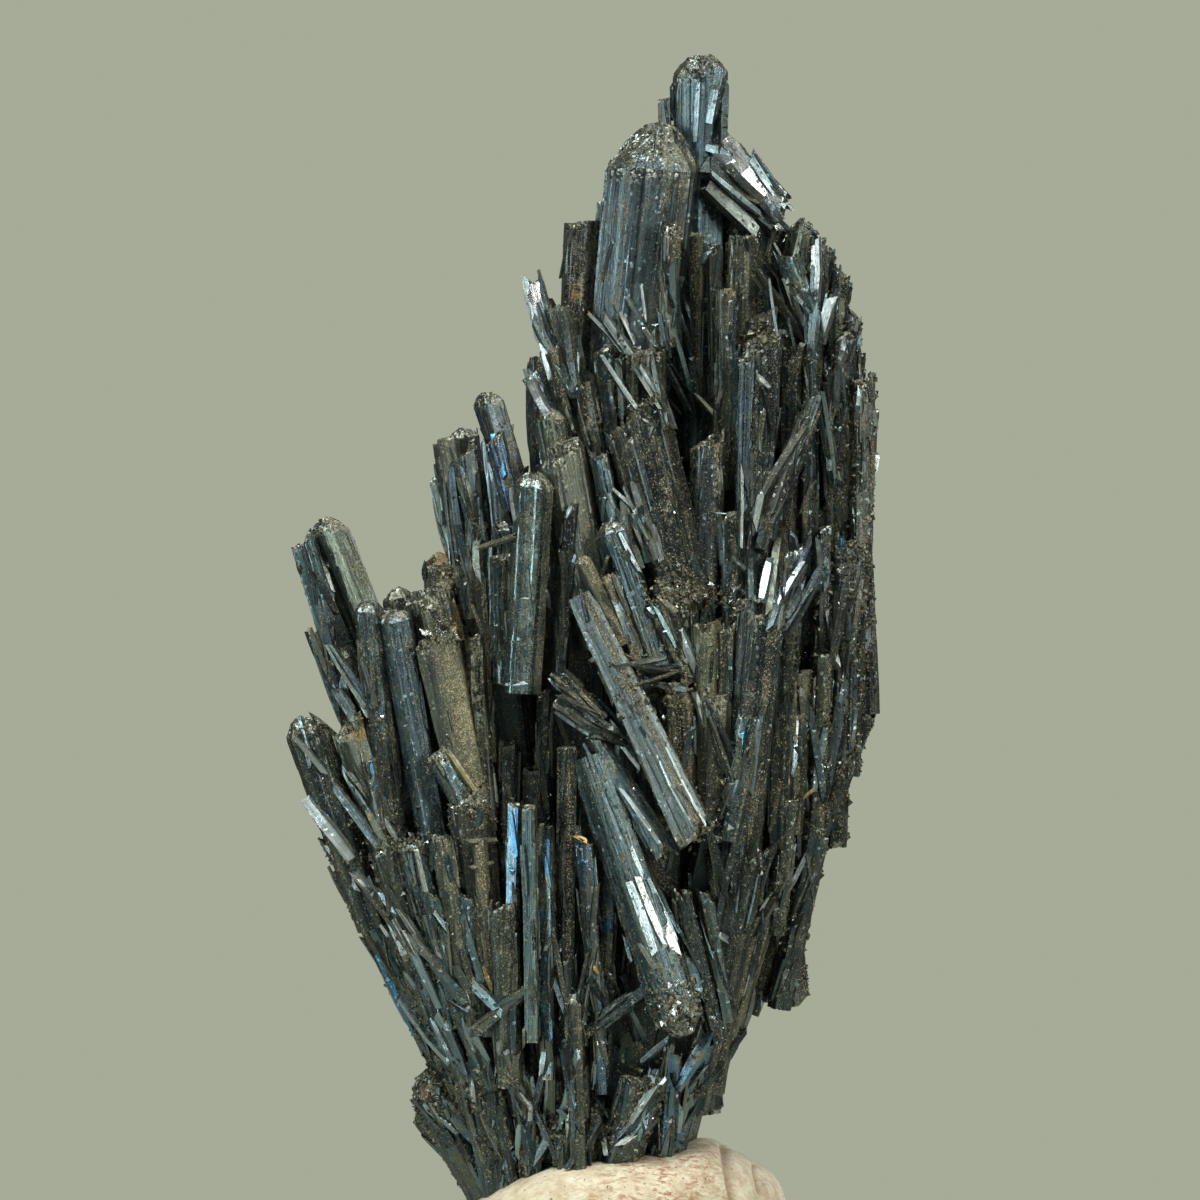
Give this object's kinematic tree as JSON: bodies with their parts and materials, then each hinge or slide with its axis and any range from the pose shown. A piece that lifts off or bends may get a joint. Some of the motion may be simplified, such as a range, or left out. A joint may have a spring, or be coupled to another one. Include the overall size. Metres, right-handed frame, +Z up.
{
  "type": "stibnite specimen",
  "caption": "Upright spray of dark grey metallic stibnite crystals with flat striated sides and broken tips, grown together at the foot and set in a lump of cream display putty.",
  "frame": {"origin": "middle of the putty's flat underside, which rests on a surface", "axes": "+Z up along the spray, +X to the viewer's right and +Y away from the viewer, so the front faces -Y"},
  "size_m": [0.0416, 0.0257, 0.0868],
  "materials": {
    "stibnite": "metallic lustre, finely striated along each crystal, dusty with brown-olive grains, blue and violet tarnish",
    "putty": "matte, finger-pressed, with faint reddish-brown smears"
  },
  "bodies": {
    "root": {"crystal_cluster": "stibnite", "putty_lump": "putty"}
  },
  "joints": []
}
